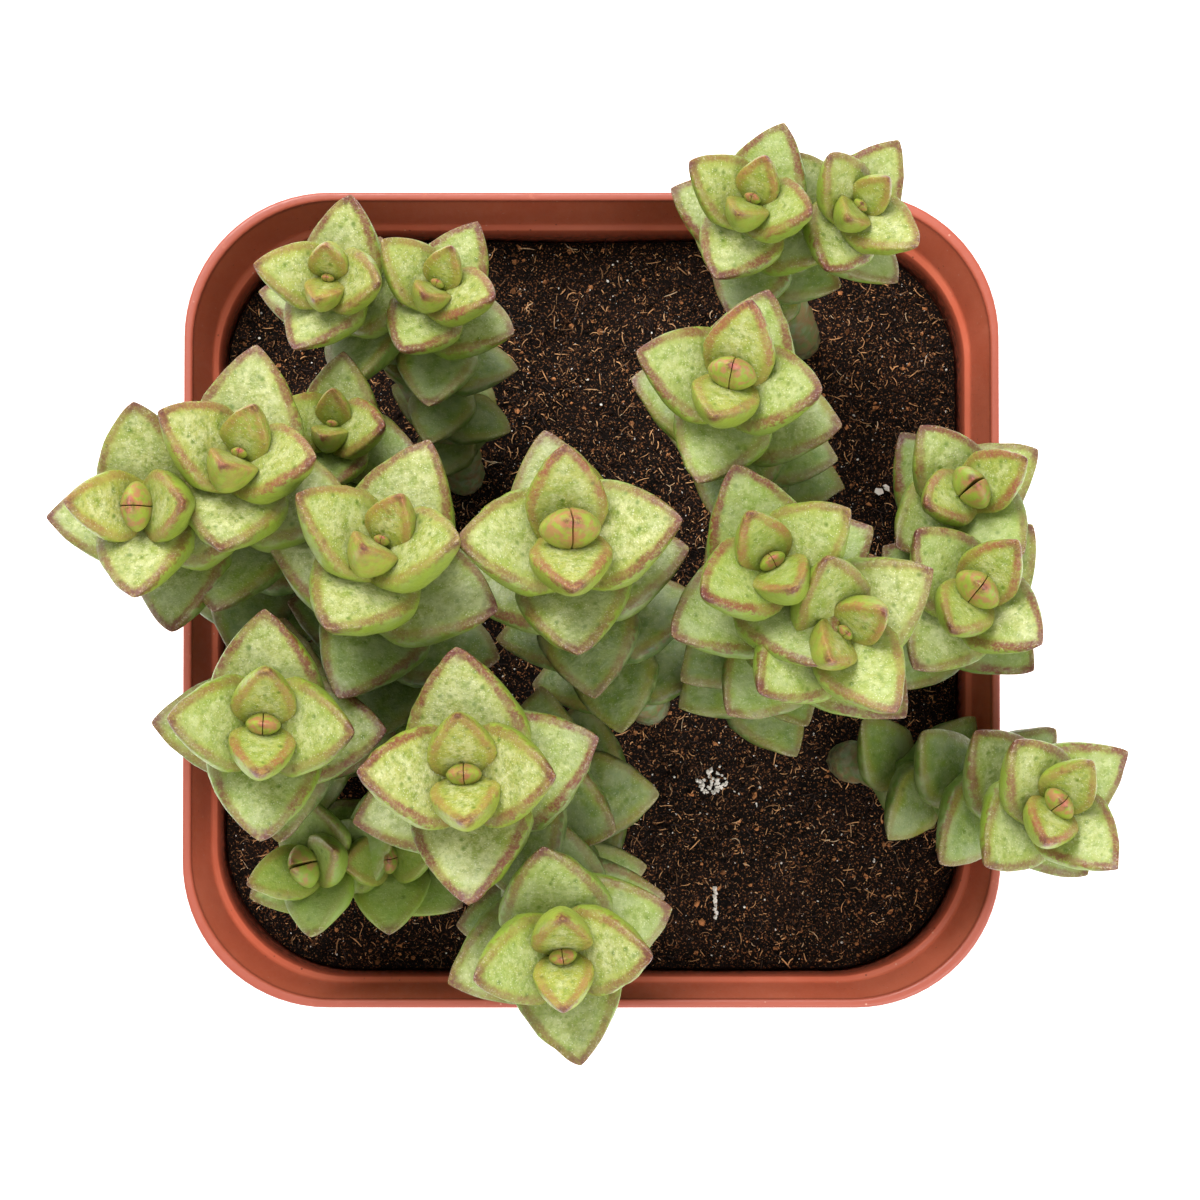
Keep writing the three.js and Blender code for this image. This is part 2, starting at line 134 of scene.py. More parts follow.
STEMS = [
    dict(name="leafy_stem_01", green=0.25, base=(4, -7), tip=(-1.4, 2.9, 75), lean=(62, 9), leaf=8.5,
         turn=5, age=0.85, pairs=9, twist=(0, 0, 0, 3)),
    dict(name="leafy_stem_02", green=0.2, base=(0.5, -13.5), tip=(-8, -12.5, 75.5), lean=(100, 3),
         leaf=8.9, turn=2, age=0.42, pairs=10, twist=(0, 4, 0, 0, 15, 15, -22)),
    dict(name="leafy_stem_03", green=0.35, base=(-11.7, -7.5), tip=(-13.3, 2.4, 74), lean=(83, 16),
         leaf=8.5, turn=-18, age=0.1, pairs=10, twist=(0, -15, 0, -8, -4)),
    dict(name="leafy_stem_04", green=0.35, base=(-21, -3), tip=(-22.4, 8, 73.5), lean=(80, 14),
         leaf=8.3, turn=-15, age=0.12, pairs=10, twist=(0, -10, 0, 5)),
    dict(name="fork_04", green=0.3, parent="leafy_stem_04", below=24, tip=(-28.8, 4.7, 72),
         lean=(191, 10), leaf=8.1, turn=90, age=0.7, pairs=5),
    dict(name="leafy_stem_05", green=0.5, base=(12.5, 7.5), tip=(9, 12.9, 73.5), lean=(96, 10),
         leaf=7.6, turn=-14, age=0.75, pairs=9, twist=(0, -4, 0, -7)),
    dict(name="leafy_stem_06", green=0.5, base=(10.2, -7.2), tip=(11.5, 1, 75), lean=(113, 8), leaf=8,
         turn=31, age=0.35, pairs=10, twist=(0, 0, 0, -8)),
    dict(name="fork_06", green=0.45, parent="leafy_stem_06", below=22, tip=(16.1, -3.4, 74),
         lean=(-35, 12), leaf=8.4, turn=-47, age=0.15, pairs=6, twist=(0, 0, -15, -10, 0)),
    dict(name="leafy_stem_07", green=0.4, base=(-17, -9), tip=(-20.9, -9.2, 72), lean=(0, 3),
         leaf=8.3, turn=-3, age=0.45, pairs=9),
    dict(name="leafy_stem_08", green=0.45, base=(-2.2, -18), tip=(-1.8, -23.9, 73), lean=(-80, 8),
         leaf=8.1, turn=9, age=0.35, pairs=9, twist=(0, -5, 0, 0, 8)),
    dict(name="leafy_stem_09", green=0.5, base=(14.3, 18.1), tip=(10.4, 24.8, 69), lean=(100, 10),
         leaf=6.5, turn=-24, age=0.25, pairs=8),
    dict(name="fork_09", green=0.45, parent="leafy_stem_09", below=14, tip=(17.4, 24.5, 68),
         lean=(20, 6), leaf=6, turn=-44, age=0.25, pairs=5, twist=(0, 0, 0, 15)),
    dict(name="leafy_stem_10", green=0.5, base=(-8.7, 8.5), tip=(-10, 19.6, 66), lean=(80, 12),
         leaf=6.1, turn=-28, age=0.2, pairs=10, twist=(0, 0, 0, 0, 0, 20, 15, 15)),
    dict(name="fork_10", green=0.4, parent="leafy_stem_10", below=20, tip=(-17.1, 20, 66),
         lean=(180, 6), leaf=6.4, turn=-10, age=0.15, pairs=6, twist=(0, 0, 0, -8)),
    dict(name="leafy_stem_11", green=0.5, base=(21.5, -3.5), tip=(25, -0.3, 65), lean=(53, 5), leaf=7,
         turn=-38, age=0.85, pairs=6),
    dict(name="leafy_stem_12", green=0.5, base=(16.5, -10.5), start=(-12, 20), tip=(30.3, -14.1, 64),
         lean=(18, 6), leaf=7, turn=-50, age=0.6, pairs=9, twist=(0, 20, 0, -7)),
    dict(name="leafy_stem_13", green=0.55, base=(-15.5, 7.5), tip=(-16.9, 10.7, 63.5), lean=(110, 12),
         leaf=5.8, turn=-10, age=0.15, pairs=6),
    dict(name="leafy_stem_14", green=0.6, base=(22, 4), tip=(24.8, 6.5, 62), lean=(63, 7), leaf=6.5,
         turn=-54, age=0.9, pairs=5, twist=(0, -12)),
    dict(name="leafy_stem_15", green=0.9, base=(-17.5, -19), tip=(-18.6, -18.1, 58), lean=(180, 22),
         leaf=5.9, turn=-70, age=0.9, pairs=4, twist=(0, 0, -15)),
    dict(name="leafy_stem_16", green=0.9, base=(-13.1, -18), tip=(-13.5, -17.5, 55), lean=(-60, 5),
         leaf=6.6, turn=97, age=0.55, pairs=4, twist=(0, 0, 0, -42)),
]

# The finer leaf: stations along the blade, points round a section and the section's form
STATIONS = (0, 0.05, 0.11, 0.17, 0.24, 0.31, 0.39, 0.47, 0.55, 0.63, 0.7, 0.77, 0.83, 0.88, 0.925, 0.96,
            0.983, 0.995)
SECTION_POINTS = 32
RIDGE_AT = SECTION_POINTS // 8
RIDGE_POWER = 7
KEEL_POWER = 1.7
MARGIN_DROP = dict(young=0.1, grown=0.27, pace=1.9, power=3)
PUFF = dict(young=0, grown=0.06, pace=2.6, power=3)
CREASE_SHADE_REACH = 0.9
ZONE_REACH = 8
BLADE_STEPS = 100
STRAY = dict(length=0.02, rise=1.5, bend=0.25, skew=0.035, roll=3, green=0.3)
WAVES = 5
WAVE_SIZE = 1.3
WAVE_DEPTH = 0.03
STALK_RINGS = 14
STALK_SIDES = 12
STALK_WAIST = 0.08


def colour(r, g, b):
    """A linear colour from the 0 to 255 values that the eye sees."""
    seen = [c / 255 for c in (r, g, b)]
    return tuple(c / 12.92 if c <= 0.04 else ((c + 0.055) / 1.055) ** 2.4 for c in seen) + (1,)


def grown(rule, age):
    """A measure at a pair's age, on its way from the young value to the grown one."""
    share = 1 - math.exp(-(age / rule["pace"]) ** rule["power"])
    return rule["young"] + (rule["grown"] - rule["young"]) * share


def blade_rise(age):
    """A blade's angle above the level of its pair; a bud's two leaves stand closed."""
    return min(grown(RISE, age) + grown(CLOSE, age), RISE_LIMIT)


def unit(v):
    return v / np.linalg.norm(v)


def add_piece(name, points, faces, material, smooth=True):
    """A mesh object from points in millimetres, riding on the one body."""
    mesh = bpy.data.meshes.new(name)
    mesh.from_pydata((np.asarray(points) * MM).tolist(), [], faces)
    mesh.polygons.foreach_set("use_smooth", [smooth] * len(mesh.polygons))
    mesh.materials.append(material)
    piece = bpy.data.objects.new(name, mesh)
    bpy.context.scene.collection.objects.link(piece)
    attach(piece, "root")
    return piece


def paint(piece, name, values):
    """One colour attribute, a value for each point."""
    layer = piece.data.attributes.new(name, "FLOAT_COLOR", "POINT")
    full = np.hstack([values, np.ones((len(values), 1))])
    layer.data.foreach_set("color", full.astype(np.float32).ravel())


# Materials

class Shade:
    """A node tree, of a material or of an effect, and short ways to add the nodes in it."""

    def __init__(self, tree):
        self.tree = tree

    def node(self, kind, **settings):
        made = self.tree.nodes.new("ShaderNode" + kind)
        for key, value in settings.items():
            setattr(made, key, value)
        return made

    def feed(self, socket, value):
        if isinstance(value, bpy.types.NodeSocket):
            self.tree.links.new(value, socket)
        else:
            socket.default_value = value

    def place(self):
        return self.node("TexCoord").outputs["Object"]

    def pace(self, size):
        """A texture's scale for features of a size in millimetres."""
        if isinstance(size, bpy.types.NodeSocket):
            return self.maths("DIVIDE", 1 / MM, size)
        return 1 / (size * MM)

    def noise(self, size, detail=3, rough=0.55, stretch=None):
        made = self.node("TexNoise")
        self.feed(made.inputs["Vector"], self.stretched(stretch))
        self.feed(made.inputs["Scale"], self.pace(size))
        self.feed(made.inputs["Detail"], detail)
        self.feed(made.inputs["Roughness"], rough)
        return made.outputs["Fac"]

    def cells(self, size):
        """The distance to the nearest of evenly scattered points."""
        made = self.node("TexVoronoi")
        self.feed(made.inputs["Vector"], self.place())
        self.feed(made.inputs["Scale"], self.pace(size))
        return made.outputs["Distance"]

    def stretched(self, stretch):
        if stretch is None:
            return self.place()
        made = self.node("Mapping")
        self.feed(made.inputs["Vector"], self.place())
        self.feed(made.inputs["Scale"], stretch)
        return made.outputs["Vector"]

    def maths(self, how, a, b=0.0):
        made = self.node("Math", operation=how)
        self.feed(made.inputs[0], a)
        self.feed(made.inputs[1], b)
        return made.outputs[0]

    def product(self, *values):
        result = values[0]
        for value in values[1:]:
            result = self.maths("MULTIPLY", result, value)
        return result

    def fade(self, value, low, high, to_low=0.0, to_high=1.0):
        """Passes smoothly from to_low to to_high while the value goes from low to high."""
        made = self.node("MapRange", interpolation_type="SMOOTHSTEP")
        for socket, number in zip(made.inputs[:5], (value, low, high, to_low, to_high)):
            self.feed(socket, number)
        return made.outputs[0]

    def mix(self, share, a, b):
        made = self.node("Mix", data_type="RGBA")
        self.feed(made.inputs["Factor"], share)
        self.feed(made.inputs[6], a)
        self.feed(made.inputs[7], b)
        return made.outputs[2]

    def bump(self, height, depth):
        made = self.node("Bump")
        self.feed(made.inputs["Height"], height)
        self.feed(made.inputs["Distance"], depth * MM)
        return made.outputs["Normal"]

    def attribute(self, name):
        made = self.node("Attribute", attribute_name=name)
        parts = self.node("SeparateColor")
        self.feed(parts.inputs[0], made.outputs["Color"])
        return parts.outputs

    def height(self):
        """The height above the floor in millimetres."""
        made = self.node("SeparateXYZ")
        self.feed(made.inputs[0], self.place())
        return self.maths("DIVIDE", made.outputs[2], MM)

    def use(self, effect, **values):
        """Places a shared effect with its own values, and gives its outputs."""
        made = self.node("Group", node_tree=effect)
        for key, value in values.items():
            self.feed(made.inputs[key], value)
        return made.outputs


class Finish(Shade):
    """A material with its Principled shader."""

    def __init__(self, name):
        self.material = bpy.data.materials.new(name)
        self.material.use_nodes = True
        super().__init__(self.material.node_tree)
        self.shader = self.tree.nodes["Principled BSDF"]

    def set(self, **values):
        for key, value in values.items():
            self.feed(self.shader.inputs[key.replace("_", " ")], value)


class Effect(Shade):
    """An effect that several materials share, with named inputs and outputs."""

    def __init__(self, name, inputs, outputs):
        group = bpy.data.node_groups.new(name, "ShaderNodeTree")
        for way, sockets in (("INPUT", inputs), ("OUTPUT", outputs)):
            for label, kind in sockets.items():
                group.interface.new_socket(name=label, in_out=way, socket_type="NodeSocket" + kind)
        super().__init__(group)
        self.given = group.nodes.new("NodeGroupInput").outputs
        self.result = group.nodes.new("NodeGroupOutput").inputs


def mottle_effect():
    """A second tone that comes and goes in soft patches."""
    e = Effect("mottle", dict(Colour="Color", Tone="Color", Size="Float", From="Float", To="Float",
                              Share="Float"), dict(Colour="Color"))
    given = e.given
    share = e.fade(e.noise(given["Size"], 3, 0.6), given["From"], given["To"], 0, given["Share"])
    e.feed(e.result["Colour"], e.mix(share, given["Colour"], given["Tone"]))
    return e.tree


def speckle_effect():
    """Small round spots, some of them missing."""
    e = Effect("speckle", dict(Colour="Color", Spot="Color", Spacing="Float", Inner="Float", Outer="Float",
                               Share="Float"), dict(Colour="Color", Spots="Float"))
    given = e.given
    spots = e.fade(e.cells(given["Spacing"]), given["Inner"], given["Outer"], 1, 0)
    kept = e.fade(e.noise(e.maths("MULTIPLY", given["Spacing"], 1.6), 1), 0.42, 0.56)
    spots = e.product(spots, kept, given["Share"])
    e.feed(e.result["Colour"], e.mix(spots, given["Colour"], given["Spot"]))
    e.feed(e.result["Spots"], spots)
    return e.tree


def soil_dust_effect():
    """Soil that clings to what stands in it, up to a height."""
    e = Effect("soil_dust", dict(Colour="Color", Top="Float", Share="Float"), dict(Colour="Color"))
    low = e.fade(e.height(), SOIL_TOP - 0.5, e.given["Top"], 1, 0)
    dust = e.product(low, e.fade(e.noise(0.45, 4, 0.7), 0.4, 0.58), e.given["Share"])
    e.feed(e.result["Colour"], e.mix(dust, e.given["Colour"], colour(66, 38, 26)))
    return e.tree


def leaf_finish():
    """Mealy yellow-green above, smooth below, with a broken red line along the ridge between them."""
    s = Finish("leaf_skin")
    zone = s.attribute("leaf_zone")
    life = s.attribute("leaf_life")
    inward = s.maths("MULTIPLY", s.maths("SUBTRACT", zone[0], 0.5), ZONE_REACH)
    along, crease_shade = zone[1], zone[2]
    age, green, redness = s.maths("MULTIPLY", life[0], 10), life[1], life[2]
    upper = s.fade(inward, -0.3, 0.12)
    bud = s.fade(age, 0.7, 1.4, 1, 0)
    young = s.fade(age, 0.8, 3.4, 1, 0)
    old = s.fade(age, 3.2, 6)
    tip = s.fade(along, 0.72, 1)

    # Above: yellow-green, paler in soft mealy patches, greener at the rim, and darker green near the stem as
    # painted shade in the crease
    above = s.mix(young, colour(150, 154, 88), colour(158, 158, 68))
    above = s.mix(old, above, colour(92, 112, 54))
    above = s.use(MOTTLE, Colour=above, Tone=colour(116, 134, 40), Size=1.0, From=0.42, To=0.68,
                  Share=0.7)["Colour"]
    mealy = s.product(s.fade(inward, 0.2, 1.3, 0.05, 0.62), s.fade(old, 0, 1, 1, 0.4),
                      s.fade(green, 0.5, 1, 1, 0.3))
    above = s.use(MOTTLE, Colour=above, Tone=colour(196, 196, 146), Size=0.75, From=0.36, To=0.68,
                  Share=mealy)["Colour"]
    above = s.use(MOTTLE, Colour=above, Tone=colour(106, 120, 44), Size=0.34, From=0.46, To=0.68,
                  Share=0.62)["Colour"]
    above = s.use(MOTTLE, Colour=above, Tone=colour(212, 214, 166), Size=0.14, From=0.5, To=0.7,
                  Share=s.maths("MULTIPLY", mealy, 0.45))["Colour"]
    above = s.mix(s.fade(inward, 0.1, 1.1, 0.5, 0), above, colour(148, 150, 52))

    # Below: smooth and fresher, darker with age
    below = s.mix(young, colour(122, 140, 42), colour(146, 158, 56))
    below = s.mix(old, below, colour(66, 86, 32))
    below = s.use(MOTTLE, Colour=below, Tone=colour(108, 120, 40), Size=0.9, From=0.38, To=0.72,
                  Share=0.5)["Colour"]
    skin = s.mix(upper, below, above)
    skin = s.mix(s.fade(green, 0.1, 1, 0, 0.6), skin, colour(108, 138, 44))

    # Sunken dark dots and fine pale grains
    skin = s.use(SPECKLE, Colour=skin, Spot=colour(86, 108, 24), Spacing=0.8, Inner=0.04, Outer=0.34,
                 Share=s.fade(inward, -0.6, 0.2, 0.3, 0.9))["Colour"]
    grains = s.product(s.fade(inward, -0.35, 0.1, 0.05, 0.42), s.fade(old, 0, 1, 1, 0.5),
                       s.fade(green, 0.4, 0.9, 1, 0.4))
    pale = s.use(SPECKLE, Colour=skin, Spot=colour(232, 230, 200), Spacing=0.17, Inner=0.1, Outer=0.36,
                 Share=grains)
    skin = pale["Colour"]

    # The bloom of grown leaves
    bloom = s.product(s.fade(age, 1.6, 4.6, 0.04, 0.4), s.fade(inward, -1.2, 0, 0.5, 1))
    skin = s.use(MOTTLE, Colour=skin, Tone=colour(150, 158, 118), Size=1.8, From=0.42, To=0.64,
                 Share=bloom)["Colour"]

    # The red line on the ridge, in soft blotches that run together, browner with age and darkest at the tip
    breaks = s.noise(0.5, 4, 0.8)
    stretches = s.noise(1.7, 2)
    reach = s.maths("ADD", s.fade(breaks, 0.34, 0.64, 0.14, 0.5), s.maths("MULTIPLY", tip, 0.2))
    off = s.maths("ABSOLUTE", s.maths("ADD", inward, s.fade(breaks, 0.3, 0.7, -0.16, 0.08)))
    line = s.fade(s.maths("SUBTRACT", reach, off), -0.22, 0.18)
    strength = s.product(s.fade(along, 0.05, 0.6, 0.45, 1), s.fade(redness, 0, 1, 0.6, 1),
                         s.fade(green, 0.7, 1, 1, 0.3), s.fade(age, 4.5, 8, 0.9, 0.45),
                         s.fade(age, 0.7, 1.8, 0.45, 1), s.fade(stretches, 0.38, 0.54, 0.6, 1),
                         s.fade(s.noise(0.15, 2), 0.35, 0.55, 0.65, 1))
    red = s.mix(s.fade(age, 1, 3), colour(146, 70, 58), colour(102, 38, 31))
    red = s.mix(s.product(tip, s.fade(breaks, 0.35, 0.6)), red, colour(88, 36, 38))
    skin = s.mix(s.product(line, strength), skin, red)
    stain = s.product(s.fade(along, 0.84, 0.98), s.fade(breaks, 0.38, 0.58, 0.3, 0.85))
    skin = s.mix(s.product(stain, s.fade(age, 4, 8, 1, 0.5)), skin, red)

    # The soft red blush of the bud
    blush = s.product(bud, s.fade(along, 0.2, 0.7), s.fade(s.noise(0.55, 3), 0.42, 0.6, 0, 0.65))
    skin = s.mix(blush, skin, colour(172, 92, 84))

    # Dry pale scales along the ridge towards the tip
    dry = s.product(s.fade(s.noise(0.13, 2, 0.6), 0.54, 0.64),
                    s.fade(s.maths("ABSOLUTE", inward), 0.3, 0.08),
                    s.fade(along, 0.6, 1, 0, 0.3), s.fade(age, 1, 2.2))
    skin = s.mix(dry, skin, colour(206, 194, 178))
    # Painted shade: the crease at the base of the upper face, under the pair above, is painted dark green
    skin = s.mix(s.product(crease_shade, 0.6), skin, colour(96, 112, 24))

    relief = s.maths("ADD", s.noise(0.26, 3, 0.6), s.maths("MULTIPLY", pale["Spots"], 0.5))
    relief = s.product(relief, s.fade(inward, -0.5, 0.1, 0.25, 1))
    s.set(Base_Color=skin, Normal=s.bump(relief, 0.06), Specular_IOR_Level=0.4, Subsurface_Weight=0.14,
          Subsurface_Radius=(0.9, 1.2, 0.3), Subsurface_Scale=MM,
          Roughness=s.fade(s.noise(0.3, 2), 0.35, 0.65, 0.4, 0.58))
    return s.material


def stalk_finish():
    s = Finish("stem_skin")
    streaks = s.noise(0.5, 3, stretch=(1, 1, 0.2))
    skin = s.mix(s.fade(streaks, 0.35, 0.65), colour(112, 134, 78), colour(140, 118, 78))
    skin = s.use(MOTTLE, Colour=skin, Tone=colour(150, 172, 142), Size=1.2, From=0.45, To=0.65,
                 Share=0.4)["Colour"]
    skin = s.use(SOIL_DUST, Colour=skin, Top=SOIL_TOP + 3, Share=0.8)["Colour"]
    s.set(Base_Color=skin, Roughness=0.6, Normal=s.bump(streaks, 0.08))
    return s.material


def pot_finish():
    """Brick-orange plastic, with painted shade on the lip and inside under the shoulder line, with soil dust
    and rub marks.
    """
    s = Finish("pot_plastic")
    inside = s.attribute("pot_inside")[0]
    height = s.height()
    rubs = s.noise(0.9, 4, 0.7, stretch=(1, 1, 0.15))
    plastic = s.use(MOTTLE, Colour=colour(206, 101, 73), Tone=colour(214, 113, 85), Size=7, From=0.35,
                    To=0.68, Share=1)["Colour"]
    # Painted shade: the lip band along the top edge is painted darker, to hold back the light that falls on
    # it
    plastic = s.mix(s.fade(height, POT_HEIGHT - 0.6, POT_HEIGHT - 0.12), plastic, colour(160, 76, 56))
    # Painted shade inside the pot: the wall below the shoulder line, deeper down, is painted darker
    low = s.product(inside, s.fade(height, SHOULDER_Z - 0.1, SHOULDER_Z, 0.7, 0))
    plastic = s.mix(low, plastic, colour(158, 70, 49))
    plastic = s.mix(s.fade(rubs, 0.6, 0.78, 0, 0.25), plastic, colour(206, 130, 104))
    plastic = s.use(SOIL_DUST, Colour=plastic, Top=SOIL_TOP + 1.5, Share=s.product(inside, 0.8))["Colour"]
    plastic = s.use(SPECKLE, Colour=plastic, Spot=colour(88, 44, 30), Spacing=0.7, Inner=0.06, Outer=0.14,
                    Share=s.product(inside, s.fade(height, SOIL_TOP, POT_HEIGHT, 0.9, 0.2)))["Colour"]
    plastic = s.use(SPECKLE, Colour=plastic, Spot=colour(226, 184, 162), Spacing=0.9, Inner=0.04, Outer=0.1,
                    Share=0.5)["Colour"]
    s.set(Base_Color=plastic, Roughness=s.fade(rubs, 0.3, 0.75, 0.36, 0.55),
          Normal=s.bump(s.noise(0.35, 3), 0.012))
    return s.material


def soil_finish():
    s = Finish("peat")
    earth = s.use(MOTTLE, Colour=colour(11, 7, 5), Tone=colour(24, 15, 11), Size=3.5, From=0.35, To=0.65,
                  Share=1)["Colour"]
    earth = s.use(MOTTLE, Colour=earth, Tone=colour(142, 92, 58), Size=0.15, From=0.56, To=0.65,
                  Share=0.9)["Colour"]
    grit = s.use(SPECKLE, Colour=earth, Spot=colour(236, 178, 122), Spacing=0.24, Inner=0.1, Outer=0.24,
                 Share=0.95)
    earth = s.use(SPECKLE, Colour=grit["Colour"], Spot=colour(12, 7, 5), Spacing=0.42, Inner=0.1, Outer=0.42,
                  Share=0.85)["Colour"]
    relief = s.maths("ADD", s.noise(0.18, 4, 0.7), grit["Spots"])
    s.set(Base_Color=earth, Roughness=0.95, Normal=s.bump(relief, 0.2), Specular_IOR_Level=0.15)
    return s.material


def crumb_finish():
    s = Finish("peat_crumbs")
    kind = s.attribute("crumb_kind")[0]
    earth = s.mix(s.fade(kind, 0.8, 0.97), colour(14, 9, 7), colour(186, 124, 78))
    earth = s.use(MOTTLE, Colour=earth, Tone=colour(60, 36, 24), Size=0.2, From=0.45, To=0.65,
                  Share=0.7)["Colour"]
    s.set(Base_Color=earth, Roughness=0.95, Normal=s.bump(s.noise(0.12, 3), 0.06), Specular_IOR_Level=0.15)
    return s.material


def fibre_finish():
    s = Finish("peat_fibres")
    kind = s.attribute("fibre_kind")[0]
    thread = s.mix(s.fade(kind, 0.3, 0.85), colour(40, 24, 16), colour(244, 182, 122))
    thread = s.mix(s.fade(kind, 0.88, 1), thread, colour(232, 204, 164))
    thread = s.use(MOTTLE, Colour=thread, Tone=colour(84, 46, 28), Size=0.3, From=0.46, To=0.66,
                   Share=0.5)["Colour"]
    s.set(Base_Color=thread, Roughness=0.8, Normal=s.bump(s.noise(0.1, 2), 0.01))
    return s.material


def grain_finish():
    s = Finish("white_grains")
    white = s.use(SPECKLE, Colour=colour(226, 220, 210), Spot=colour(128, 112, 98), Spacing=0.2, Inner=0.12,
                  Outer=0.36, Share=0.8)
    s.set(Base_Color=white["Colour"], Roughness=0.9, Normal=s.bump(white["Spots"], 0.05))
    return s.material


def floor_finish():
    s = Finish("pale_floor")
    pale = s.use(MOTTLE, Colour=colour(252, 252, 251), Tone=colour(254, 254, 254), Size=60, From=0.3, To=0.7,
                 Share=1)["Colour"]
    s.set(Base_Color=pale, Roughness=0.9, Specular_IOR_Level=0.1, Emission_Color=(1, 1, 1, 1),
          Emission_Strength=0.5)
    return s.material


# Leafy stems

def lean_direction(azimuth, tilt):
    a, t = math.radians(azimuth), math.radians(tilt)
    return np.array([math.sin(t) * math.cos(a), math.sin(t) * math.sin(a), math.cos(t)])


def stem_path(stem):
    """A stem's path from its tip down: points, upward directions and the length walked from the tip."""
    tip = np.array(stem["tip"], float)
    if "parent" in stem:
        points, ways, walked = stem_path(next(other for other in STEMS if other["name"] == stem["parent"]))
        at = int(np.argmax(walked >= stem["below"]))
        foot = points[at]
        foot_way = unit(ways[at] + unit(tip - foot) * FORK_PULL)
    else:
        foot = np.array([*stem["base"], SOIL_TOP - STEM_DEPTH], float)
        foot_way = lean_direction(*stem.get("start", (0, 0)))
    reach = np.linalg.norm(tip - foot)
    low = foot + foot_way * reach * FOOT_HANDLE
    high = tip - lean_direction(*stem["lean"]) * reach * TIP_HANDLE
    t = np.linspace(0, 1, PATH_STEPS)[:, None]
    points = (1 - t) ** 3 * tip + 3 * (1 - t) ** 2 * t * high + 3 * (1 - t) * t * t * low + t ** 3 * foot
    slope = 3 * (1 - t) ** 2 * (high - tip) + 6 * (1 - t) * t * (low - high) + 3 * t * t * (foot - low)
    ways = -slope / np.linalg.norm(slope, axis=1, keepdims=True)
    walked = np.concatenate([[0], np.cumsum(np.linalg.norm(np.diff(points, axis=0), axis=1))])
    return points, ways, walked


def along_path(path, distance):
    """The point and the three axes of a path at a length walked from its tip."""
    points, ways, walked = path
    point = np.array([np.interp(distance, walked, points[:, i]) for i in range(3)])
    way = unit(np.array([np.interp(distance, walked, ways[:, i]) for i in range(3)]))
    east = unit(np.array([1.0, 0, 0]) - way[0] * way)
    return point, way, east, np.cross(way, east)


def pairs_of(stem):
    """The leaf pairs of a stem, from the bud down."""
    path = stem_path(stem)
    below = FIRST_GAP * stem["leaf"]
    twist = stem.get("twist", ())
    for k in range(stem["pairs"]):
        age = k + stem["age"]
        gap = grown(GAP, age + 0.5) * stem["leaf"]
        point, way, east, north = along_path(path, below)
        turn = math.radians(stem["turn"] + 90 * k + (twist[k] if k < len(twist) else 0))
        out = math.cos(turn) * east + math.sin(turn) * north
        yield dict(age=age, gap=gap, below=below, point=point, way=way, out=out, side=np.cross(way, out),
                   length=grown(LENGTH, age) * grown(AGED, age) * stem["leaf"], green=stem["green"])
        below += gap


def outline(a, age):
    """A leaf's share of its full width at a share of its length from the stem, down to a blunt tip."""
    wide = BASE_WIDTH + (1 - BASE_WIDTH) * np.sin(np.minimum(a / WIDEST, 1) * np.pi / 2)
    taper = (1 - (np.maximum(a - WIDEST, 0) / (1 - WIDEST)) ** TAPER_POWER) ** grown(TIP, age)
    return np.where(a < WIDEST, wide, taper)


def section(age):
    """Across and down shares round a section: a nearly flat top, a rounded ridge and a full underside."""
    turn = np.arange(SECTION_POINTS) / SECTION_POINTS * 2 * np.pi
    level, rise = np.cos(turn), np.sin(turn)
    above = rise > -1e-9
    power = np.where(above, RIDGE_POWER, KEEL_POWER)
    reach = (np.abs(level) ** power + np.abs(rise) ** power) ** (-1 / power)
    across, lift = level * reach, rise * reach
    drop = grown(MARGIN_DROP, age)
    top = (lift - 1) * drop + grown(PUFF, age) * (1 - across ** 2)
    return across, np.where(above, top, lift * (1 - drop) - drop)


def from_ridge(width, depth, across, down):
    """How far each point of each ring lies from the ridge, inward over the top and negative below."""
    flat = np.stack([width[:, None] * across, depth[:, None] * down], axis=2)
    steps = np.linalg.norm(np.roll(flat, -1, axis=1) - flat, axis=2)
    walk = np.cumsum(steps, axis=1) - steps
    right, left = walk[:, [RIDGE_AT]], walk[:, [SECTION_POINTS // 2 - RIDGE_AT]]
    nearest_top = np.minimum(walk - right, left - walk)
    nearest_below = np.maximum(left - walk, walk - steps.sum(axis=1, keepdims=True) - right)
    return np.where(np.arange(SECTION_POINTS) <= SECTION_POINTS // 2, nearest_top, nearest_below)


